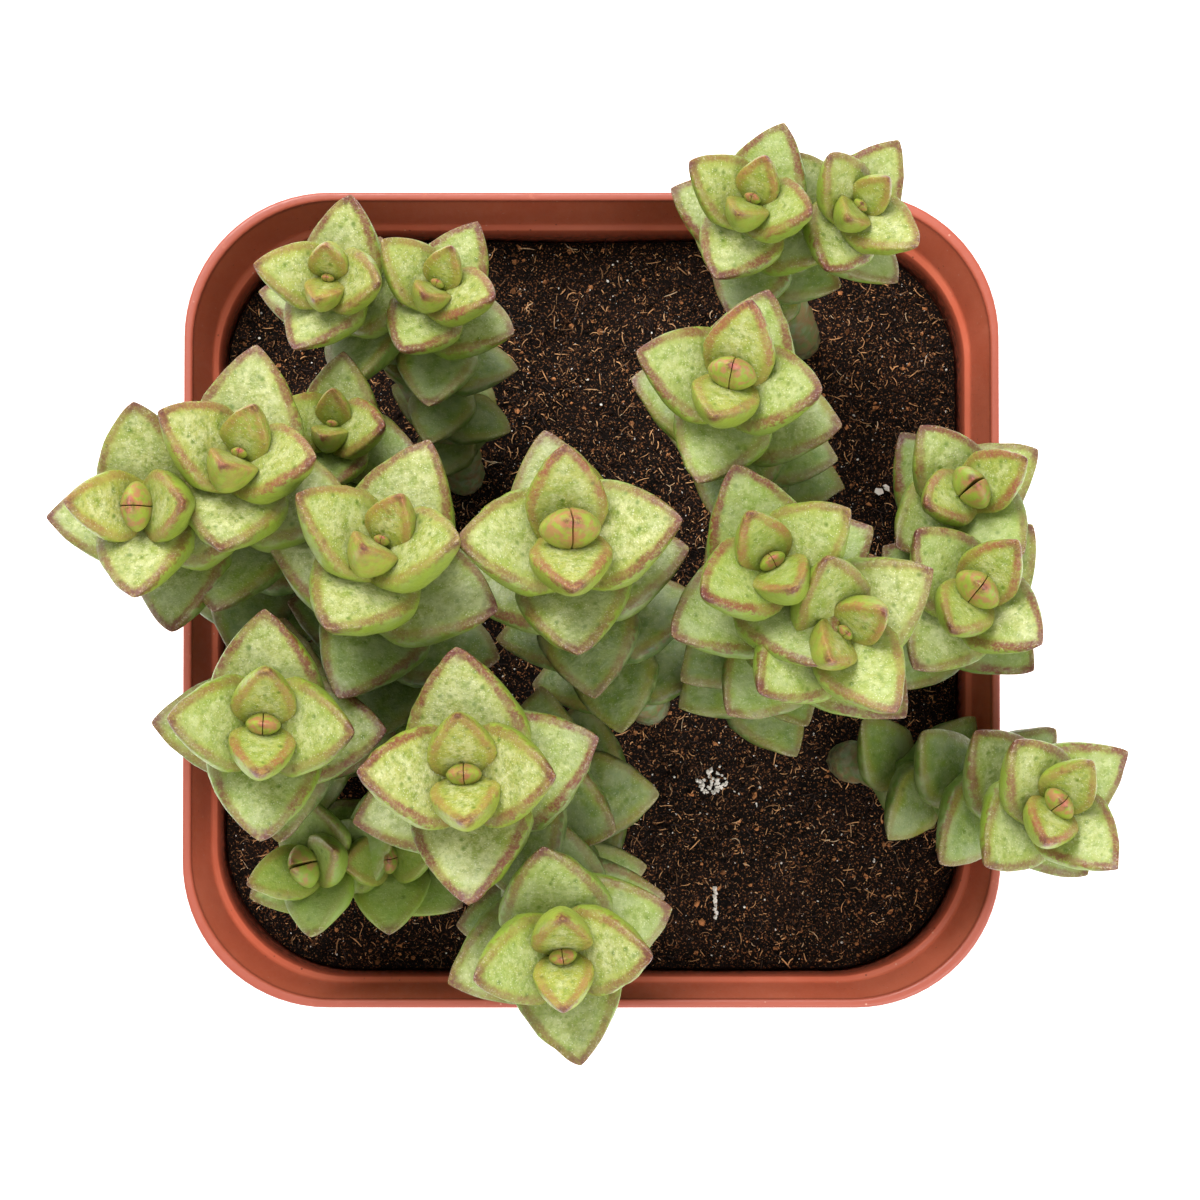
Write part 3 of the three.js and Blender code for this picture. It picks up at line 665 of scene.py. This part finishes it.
def leaf_rings(pair, facing, rng):
    """The rings of one leaf from the stem to the tip, with the paint of each point."""
    a = np.array(STATIONS)
    age, out, way = pair["age"], pair["out"] * facing, pair["way"]
    sway = min(age / 2, 1) ** 2
    length = pair["length"] * (1 + STRAY["length"] * sway * rng.standard_normal())
    rise = math.radians(blade_rise(age) + STRAY["rise"] * sway * rng.standard_normal())
    bend = math.radians(grown(BEND, age) * (1 + STRAY["bend"] * sway * rng.standard_normal()))
    skew = STRAY["skew"] * sway * rng.standard_normal()
    roll = math.radians(STRAY["roll"]) * sway * rng.standard_normal()
    fine = np.linspace(0, 1, BLADE_STEPS + 1)
    angles = rise + bend * (0.5 - fine)
    walk_out = np.concatenate([[0], np.cumsum(np.cos(angles[:-1]))]) * length / BLADE_STEPS
    walk_up = np.concatenate([[0], np.cumsum(np.sin(angles[:-1]))]) * length / BLADE_STEPS
    angle = rise + bend * (0.5 - a)
    centre = (pair["point"] + np.interp(a, fine, walk_out)[:, None] * out
              + np.interp(a, fine, walk_up)[:, None] * way
              + (skew * length * a ** 2)[:, None] * pair["side"])
    normal = np.cos(angle)[:, None] * way - np.sin(angle)[:, None] * out
    side = np.repeat(pair["side"][None], len(a), 0)
    tilt = (roll * a)[:, None]
    side, normal = side * np.cos(tilt) + normal * np.sin(tilt), normal * np.cos(tilt) - side * np.sin(tilt)
    width = grown(WIDTH, age) * length * outline(a, age)
    depth = grown(DEPTH, age) * length * outline(a, age) ** DEPTH_POWER
    across, down = section(age)

    blade = (centre[:, None] + (width[:, None] * across)[:, :, None] * side[:, None]
             + (depth[:, None] * down)[:, :, None] * normal[:, None])
    deep = max(depth[0], pair["gap"] + PAIR_SINK)
    middle = (pair["point"] + (width[0] * across)[:, None] * pair["side"] + (deep * down)[:, None] * way)
    share = np.clip(a / WIDEST, 0, 1)[:, None, None]
    share = share * share * (3 - 2 * share)
    rings = middle * (1 - share) + blade * share

    inward = from_ridge(width, depth, across, down)
    zone = np.clip(0.5 + inward / ZONE_REACH, 0, 1)
    # The painted shade of the crease: strongest on the upper face at the stem, fading along the blade
    crease_shade = np.exp(-a * length / CREASE_SHADE_REACH)[:, None] * (inward > 0)
    paints = np.stack([zone, np.broadcast_to(a[:, None], zone.shape), crease_shade], axis=2)
    tip = centre[-1] + (centre[-1] - centre[-2]) * 0.3 - normal[-1] * depth[-1] * 0.4
    return rings, paints, tip


def leaf_pair(pair, rng):
    """One closed body from tip to tip: its points, faces and two paints for each point."""
    far, far_paint, far_tip = leaf_rings(pair, 1, rng)
    near, near_paint, near_tip = leaf_rings(pair, -1, rng)
    rings = np.concatenate([far[::-1], near[1:]])
    paints = np.concatenate([far_paint[::-1], near_paint[1:]])
    count = len(rings)
    points = np.concatenate([[far_tip], rings.reshape(-1, 3), [near_tip]])
    tip_paint = [[0.5, 1, 0]]
    zones = np.concatenate([tip_paint, paints.reshape(-1, 3), tip_paint])
    n = SECTION_POINTS
    last = len(points) - 1
    faces = []
    for j in range(n):
        k = (j + 1) % n
        faces.append((0, 1 + k, 1 + j))
        faces.append((last, 1 + (count - 1) * n + j, 1 + (count - 1) * n + k))
        for i in range(count - 1):
            a, b = 1 + i * n, 1 + (i + 1) * n
            faces.append((a + j, a + k, b + k, b + j))
    # Each leaf is coloured by its age, by its stem's own green and by a chance
    split = 1 + (len(far) - 0.5) * n
    first = np.arange(len(points)) < split
    chances = rng.random((2, 2))
    greens = np.clip(pair["green"] + STRAY["green"] * (chances[:, 0] - 0.5), 0, 1)
    life = np.column_stack([np.full(len(points), min(pair["age"] / 10, 1)),
                            np.where(first, *greens), np.where(first, *chances[:, 1])])
    return points, faces, zones, life


def uneven(points, rng, depth):
    """Moves points a little along slow waves, so that no leaf is a perfect form."""
    moved = points.copy()
    for _ in range(WAVES):
        wave = unit(rng.standard_normal(3)) * 2 * np.pi / (WAVE_SIZE * (1 + rng.random()))
        push = unit(rng.standard_normal(3)) * depth
        moved += np.sin(points @ wave + rng.random() * 6.28)[:, None] * push
    return moved


def tube(frames, radii, sides):
    """A closed rod through frames, each a centre and its two side axes."""
    points = []
    for (point, east, north), radius in zip(frames, radii):
        for j in range(sides):
            turn = 2 * np.pi * j / sides
            points.append(point + radius * (math.cos(turn) * east + math.sin(turn) * north))
    faces = []
    for i in range(len(frames) - 1):
        for j in range(sides):
            k = (j + 1) % sides
            faces.append((i * sides + j, (i + 1) * sides + j, (i + 1) * sides + k, i * sides + k))
    faces.append(tuple(range(sides)))
    faces.append(tuple(range((len(frames) - 1) * sides, len(frames) * sides))[::-1])
    return points, faces


def stalk(stem):
    """The bare stem, from inside its lowest pair down into the soil or into the stem it forks from."""
    path = stem_path(stem)
    top = list(pairs_of(stem))[-1]["below"] + PAIR_SINK
    spots = np.linspace(top, path[2][-1], STALK_RINGS)
    frames = [along_path(path, spot) for spot in spots]
    radii = [STEM_RADIUS * (1 - STALK_WAIST + STALK_WAIST * math.sin(spot * 2.1)) for spot in spots]
    return tube([(point, east, north) for point, _, east, north in frames], radii, STALK_SIDES)


def leafy_stems(leaf, skin):
    """Each rooted stem with its forks as one piece."""
    roots = [stem for stem in STEMS if "parent" not in stem]
    for number, root in enumerate(roots, start=1):
        rng = np.random.default_rng(100 + number)
        group = [root] + [stem for stem in STEMS if stem.get("parent") == root["name"]]
        points, faces, zones, lives = [], [], [], []
        for stem in group:
            for pair in pairs_of(stem):
                new_points, new_faces, zone, life = leaf_pair(pair, rng)
                new_points = uneven(new_points, rng, WAVE_DEPTH * min(pair["length"] / 8, 1))
                start = sum(len(part) for part in points)
                points.append(new_points)
                faces += [tuple(start + i for i in face) for face in new_faces]
                zones.append(zone)
                lives.append(life)
        leaf_faces = len(faces)
        for stem in group:
            new_points, new_faces = stalk(stem)
            start = sum(len(part) for part in points)
            points.append(np.array(new_points))
            faces += [tuple(start + i for i in face) for face in new_faces]
            zones.append(np.zeros((len(new_points), 3)))
            lives.append(np.full((len(new_points), 3), 0.8))
        piece = add_piece(root["name"] + "_grown", np.concatenate(points), faces, leaf)
        piece.data.materials.append(skin)
        index = np.zeros(len(faces), np.int32)
        index[leaf_faces:] = 1
        piece.data.polygons.foreach_set("material_index", index)
        paint(piece, "leaf_zone", np.concatenate(zones))
        paint(piece, "leaf_life", np.concatenate(lives))
        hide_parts(root["name"])


# Pot and soil

def rounded_square(half, corner):
    ring = []
    for quarter, (x, y) in enumerate([(1, 1), (-1, 1), (-1, -1), (1, -1)]):
        for i in range(CORNER_STEPS + 1):
            turn = (quarter + i / CORNER_STEPS) * math.pi / 2
            ring.append((x * (half - corner) + corner * math.cos(turn),
                         y * (half - corner) + corner * math.sin(turn)))
    return ring


def corner_at(half):
    return RIM_CORNER * half / RIM_HALF


COLLAR_FOOT = POT_HEIGHT - COLLAR_HEIGHT
BODY_HALF = RIM_HALF - COLLAR_TAPER - COLLAR_STEP


def wall_half(z):
    return BASE_HALF + (BODY_HALF - BASE_HALF) * z / COLLAR_FOOT


def inner_half(z):
    return wall_half(z) - WALL


def rounding(half, z, radius, start, end):
    """Rings along an arc of the pot's profile, about the point (half, z)."""
    turns = [math.radians(start + (end - start) * i / ARC_STEPS) for i in range(ARC_STEPS + 1)]
    return [(half + radius * math.cos(turn), z + radius * math.sin(turn), 0) for turn in turns]


def pot(plastic):
    """The pot as one profile taken round a square with rounded corners; the third value marks the inside."""
    inside = RIM_HALF - LIP_WIDTH
    shoulder = RIM_HALF - WALL - COLLAR_TAPER
    step = shoulder - SHOULDER_STEP
    body = inner_half(COLLAR_FOOT)
    foot = BASE_HALF - FOOT_BEVEL
    lip_z = POT_HEIGHT - LIP_ROUND
    profile = [(AXIS, 0, 0), (BASE_HALF * 0.6, 0, 0), (foot, 0, 0)]
    profile += rounding(foot, FOOT_BEVEL, FOOT_BEVEL, -80, -5)
    profile += [(wall_half(z), z, 0) for z in np.linspace(3, COLLAR_FOOT - 0.3, 8)]
    profile += [(BODY_HALF, COLLAR_FOOT, 0)]
    profile += rounding(BODY_HALF + COLLAR_STEP - COLLAR_EDGE, COLLAR_FOOT + 0.27, COLLAR_EDGE, -90, 0)
    profile += rounding(RIM_HALF - LIP_ROUND, lip_z, LIP_ROUND, 0, 90)
    profile += rounding(inside + LIP_ROUND, lip_z, LIP_ROUND, 90, 180)
    profile += [(inside + (shoulder - inside) * s, lip_z - (SHOULDER_DEPTH - 0.7) * s, 1)
                for s in (0.25, 0.5, 0.75, 1)]
    profile += [(shoulder - 0.05, SHOULDER_Z + 0.2, 1), (shoulder - 0.18, SHOULDER_Z + 0.08, 1),
                (step + 0.1, SHOULDER_Z, 1), (step, SHOULDER_Z - 0.12, 1)]
    profile += [(body + (step - body) * s, COLLAR_FOOT + (SHOULDER_Z - COLLAR_FOOT) * s, 1)
                for s in (0.7, 0.35, 0)]
    profile += [(inner_half(z), z, 1) for z in np.linspace(COLLAR_FOOT - 2, FLOOR, 5)]
    profile += [(AXIS, FLOOR, 1)]
    points, faces, marks = [], [], []
    for half, z, mark in profile:
        ring = rounded_square(half, corner_at(half))
        points += [(x, y, z) for x, y in ring]
        marks += [[mark, 0, 0]] * len(ring)
    n = 4 * (CORNER_STEPS + 1)
    for i in range(len(profile) - 1):
        for j in range(n):
            k = (j + 1) % n
            faces.append((i * n + j, i * n + k, (i + 1) * n + k, (i + 1) * n + j))
    piece = add_piece("nursery_pot", points, faces, plastic)
    paint(piece, "pot_inside", np.array(marks, float))
    drill_drains(piece)
    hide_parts("pot")


def drill_drains(piece):
    """Cuts the four drain holes through the floor."""
    for x in (-DRAIN_OFFSET, DRAIN_OFFSET):
        for y in (-DRAIN_OFFSET, DRAIN_OFFSET):
            bpy.ops.mesh.primitive_cylinder_add(vertices=32, radius=DRAIN_RADIUS * MM, depth=4 * FLOOR * MM,
                                                location=(x * MM, y * MM, 0))
            drill = bpy.context.active_object
            cut = piece.modifiers.new("drain", "BOOLEAN")
            cut.object = drill
            cut.operation = "DIFFERENCE"
            bpy.context.view_layer.objects.active = piece
            bpy.ops.object.modifier_apply(modifier=cut.name)
            bpy.data.objects.remove(drill)


def soil_waves(x, y, rng):
    """The soil's own ground: slow swells, lumps and fine crumb, in millimetres."""
    ground = np.zeros_like(x)
    for size, height, count in SOIL_WAVES:
        for _ in range(count):
            turn = rng.random() * 2 * np.pi
            pace = 2 * np.pi / (size * (0.7 + 0.6 * rng.random()))
            ground += height / math.sqrt(count) * np.sin(
                pace * (x * math.cos(turn) + y * math.sin(turn)) + rng.random() * 6.28)
    return ground


def soil_height(x, y):
    """The soil's surface, with one dark hollow near the back."""
    ground = soil_waves(x, y, np.random.default_rng(7))
    hollow_x, hollow_y = HOLLOW["place"]
    off = (x - hollow_x) ** 2 + (y - hollow_y) ** 2
    return SOIL_TOP + ground - HOLLOW["depth"] * np.exp(-off / HOLLOW["spread"])


def in_soil(x, y, inset):
    half = inner_half(COLLAR_FOOT) - inset
    corner = corner_at(half)
    dx, dy = np.maximum(np.abs(x) - (half - corner), 0), np.maximum(np.abs(y) - (half - corner), 0)
    return np.hypot(dx, dy) <= corner


def soil(peat):
    """The filling: an even grid bent to the pot's rounded square, with a skirt down to the floor."""
    half = inner_half(COLLAR_FOOT) - SOIL_GAP
    steps = int(2 * half / SOIL_CELL)
    line = np.linspace(-1, 1, steps + 1)
    u, v = np.meshgrid(line, line)
    # A square grid pressed into the rounded square, ring by ring
    reach = np.maximum(np.abs(u), np.abs(v))
    corner = corner_at(half) / half
    turn = np.arctan2(v, u)
    edge = rounded_reach(turn, corner)
    square = 1 / np.maximum(np.abs(np.cos(turn)), np.abs(np.sin(turn)))
    pull = 1 + (edge / square - 1) * reach ** 3
    x, y = u * pull * half, v * pull * half
    z = soil_height(x, y)
    # The ground sinks a little along the wall
    z -= EDGE_DROP * np.clip((reach - EDGE_FROM) / (1 - EDGE_FROM), 0, 1) ** 2
    points = np.stack([x, y, z], axis=2).reshape(-1, 3)
    n = steps + 1
    faces = [(r * n + c, r * n + c + 1, (r + 1) * n + c + 1, (r + 1) * n + c)
             for r in range(steps) for c in range(steps)]
    border = (list(range(n)) + [r * n + steps for r in range(1, n)]
              + [steps * n + c for c in range(steps - 1, -1, -1)] + [r * n for r in range(steps - 1, 0, -1)])
    bottom = points[border].copy()
    floor = FLOOR + SOIL_GAP
    bottom[:, :2] *= (inner_half(floor) - SOIL_GAP) / half
    bottom[:, 2] = floor
    start = len(points)
    count = len(border)
    points = np.concatenate([points, bottom, [[0, 0, floor]]])
    for j in range(count):
        k = (j + 1) % count
        faces.append((border[k], border[j], start + j, start + k))
        faces.append((start + count, start + k, start + j))
    piece = add_piece("potting_soil", points, faces, peat)
    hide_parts("soil")


def rounded_reach(turn, corner):
    """How far a unit square with rounded corners reaches in each direction."""
    c, s = np.abs(np.cos(turn)), np.abs(np.sin(turn))
    big, small = np.maximum(c, s), np.minimum(c, s)
    flat = 1 / big
    centre = 1 - corner
    dot = centre * (big + small)
    bent = dot + np.sqrt(np.maximum(dot ** 2 - (2 * centre ** 2 - corner ** 2), 0))
    return np.where(small * flat > centre, bent, flat)


def scatter(count, rng, inset):
    """Even random places on the soil."""
    half = inner_half(COLLAR_FOOT)
    x, y = rng.uniform(-half, half, (2, count * 2))
    inside = in_soil(x, y, inset)
    return x[inside][:count], y[inside][:count]


LUMP = [(0, 0, 1), (0.95, 0, 0.15), (0.25, 0.9, 0.1), (-0.8, 0.5, 0.2), (-0.75, -0.6, 0.05),
        (0.3, -0.9, 0.2), (0, 0, -1)]
LUMP_FACES = [(0, i, i % 5 + 1) for i in range(1, 6)] + [(6, i % 5 + 1, i) for i in range(1, 6)]


def lumps(name, places, sizes, kinds, rng, material, sink=0.15):
    """Small uneven grains lying on the soil, as one piece."""
    shape = np.array(LUMP)
    x, y = places
    z = soil_height(x, y)
    points, faces, paints = [], [], []
    for i in range(len(x)):
        form = shape * (1 + 0.25 * rng.standard_normal((len(LUMP), 1)))
        form = form * [1, rng.uniform(0.6, 1), rng.uniform(0.5, 1)]
        turn, tip = rng.uniform(0, 2 * np.pi), rng.uniform(-0.6, 0.6)
        c, s = math.cos(tip), math.sin(tip)
        form = form @ np.array([[c, 0, s], [0, 1, 0], [-s, 0, c]])
        c, s = math.cos(turn), math.sin(turn)
        form = form @ np.array([[c, s, 0], [-s, c, 0], [0, 0, 1]])
        start = len(points) * len(LUMP)
        points.append(form * sizes[i] + [x[i], y[i], z[i] + sizes[i] * sink])
        faces += [tuple(start + j for j in face) for face in LUMP_FACES]
        paints += [[kinds[i], 0, 0]] * len(LUMP)
    piece = add_piece(name, np.concatenate(points), faces, material, smooth=False)
    paint(piece, "crumb_kind", np.array(paints))


def crumbs(material):
    rng = np.random.default_rng(11)
    places = scatter(CRUMBS, rng, 0.4)
    sizes = 0.09 + 0.16 * rng.random(CRUMBS) ** 2.5
    lumps("peat_crumbs", places, sizes, rng.random(CRUMBS), rng, material)


def white_grains(material):
    """Fine pale specks, one broken lump of perlite and two small pale bits."""
    rng = np.random.default_rng(12)
    x, y = scatter(SPECKS, rng, 0.6)
    sizes = 0.035 + 0.075 * rng.random(SPECKS) ** 3
    around = rng.uniform(0, 2 * np.pi, PERLITE["grains"])
    reach = np.sqrt(rng.random(PERLITE["grains"]))
    lump_x = PERLITE["place"][0] + PERLITE["half"][0] * reach * np.cos(around)
    lump_y = PERLITE["place"][1] + PERLITE["half"][1] * reach * np.sin(around)
    stick = np.linspace(0, STICK["length"], STICK["grains"])
    stick_x, stick_y = STICK["place"][0] + 0.03 * np.sin(stick * 9), STICK["place"][1] + stick
    x = np.concatenate([x, lump_x, stick_x, PALE_BITS["x"]])
    y = np.concatenate([y, lump_y, stick_y, PALE_BITS["y"]])
    lump_sizes = rng.uniform(0.1, 0.22, PERLITE["grains"])
    sizes = np.concatenate([sizes, lump_sizes, np.full(STICK["grains"], STICK["size"]), PALE_BITS["sizes"]])
    lumps("white_grains", (x, y), sizes, np.ones(len(x)), rng, material, sink=0.5)


def fibres(material):
    """Thin curved threads of peat, each a three-sided strip that thins out at its end."""
    rng = np.random.default_rng(13)
    x, y = scatter(FIBRES, rng, 0.5)
    z = soil_height(x, y)
    points, faces, paints = [], [], []
    bends = FIBRE_BENDS
    for i in range(FIBRES):
        length = 0.2 + 0.9 * rng.random() ** 3
        thick = 0.022 + 0.026 * rng.random() ** 2
        turn, curl = rng.uniform(0, 2 * np.pi), rng.normal(0, 0.4)
        climb = rng.normal(0.08, 0.22)
        spot = np.array([x[i], y[i], z[i] + thick + 0.05])
        kind = rng.random() ** 1.3
        start = len(points)
        for b in range(bends):
            ahead = np.array([math.cos(turn), math.sin(turn), climb * (1 - b * 0.7)])
            across = np.array([-math.sin(turn), math.cos(turn), 0])
            slim = thick * (1 if b < bends - 1 else 0.4)
            points += [spot + across * slim, spot + np.array([0, 0, slim * 1.4]), spot - across * slim]
            paints += [[kind, 0, 0]] * 3
            spot = spot + unit(ahead) * length / (bends - 1)
            turn += curl
        for b in range(bends - 1):
            for j in range(3):
                k = (j + 1) % 3
                p, q = start + b * 3, start + (b + 1) * 3
                faces.append((p + j, q + j, q + k, p + k))
        faces.append((start, start + 1, start + 2))
        faces.append((start + bends * 3 - 1, start + bends * 3 - 2, start + bends * 3 - 3))
    piece = add_piece("peat_fibres", points, faces, material)
    paint(piece, "fibre_kind", np.array(paints))


# Studio

def camera():
    lens = bpy.data.cameras.new("camera")
    lens.sensor_width = SENSOR
    lens.lens = SENSOR * VIEW_DISTANCE / VIEW_SPAN
    lens.clip_end = 10
    eye = bpy.data.objects.new("camera", lens)
    tilt = math.radians(VIEW_TILT)
    eye.location = (Vector(VIEW_AIM) + VIEW_DISTANCE * Vector((0, -math.sin(tilt), math.cos(tilt)))) * MM
    eye.rotation_euler = (tilt, 0, 0)
    bpy.context.scene.collection.objects.link(eye)
    bpy.context.scene.camera = eye


def lamp(name, place, size, power):
    """A soft square light that faces the plant."""
    light = bpy.data.lights.new(name, "AREA")
    light.size = size * MM
    light.energy = power
    made = bpy.data.objects.new(name, light)
    made.location = Vector(place) * MM
    aim = Vector((0, 0, POT_HEIGHT)) - Vector(place)
    made.rotation_euler = aim.to_track_quat("-Z", "Y").to_euler()
    bpy.context.scene.collection.objects.link(made)


def studio():
    mesh = bpy.data.meshes.new("floor")
    far = FLOOR_HALF
    mesh.from_pydata([(-far, -far, 0), (far, -far, 0), (far, far, 0), (-far, far, 0)], [], [(0, 1, 2, 3)])
    mesh.materials.append(floor_finish())
    floor = bpy.data.objects.new("floor", mesh)
    bpy.context.scene.collection.objects.link(floor)
    world = bpy.data.worlds.new("studio")
    world.use_nodes = True
    sky = world.node_tree.nodes["Background"]
    sky.inputs["Color"].default_value = (1, 1, 1, 1)
    sky.inputs["Strength"].default_value = SKY
    bpy.context.scene.world = world
    lamp("key", **KEY)
    lamp("fill", **FILL)
    bpy.context.scene.view_settings.view_transform = "Standard"


MOTTLE = mottle_effect()
SPECKLE = speckle_effect()
SOIL_DUST = soil_dust_effect()
camera()
studio()
pot(pot_finish())
soil(soil_finish())
crumbs(crumb_finish())
fibres(fibre_finish())
white_grains(grain_finish())
leafy_stems(leaf_finish(), stalk_finish())
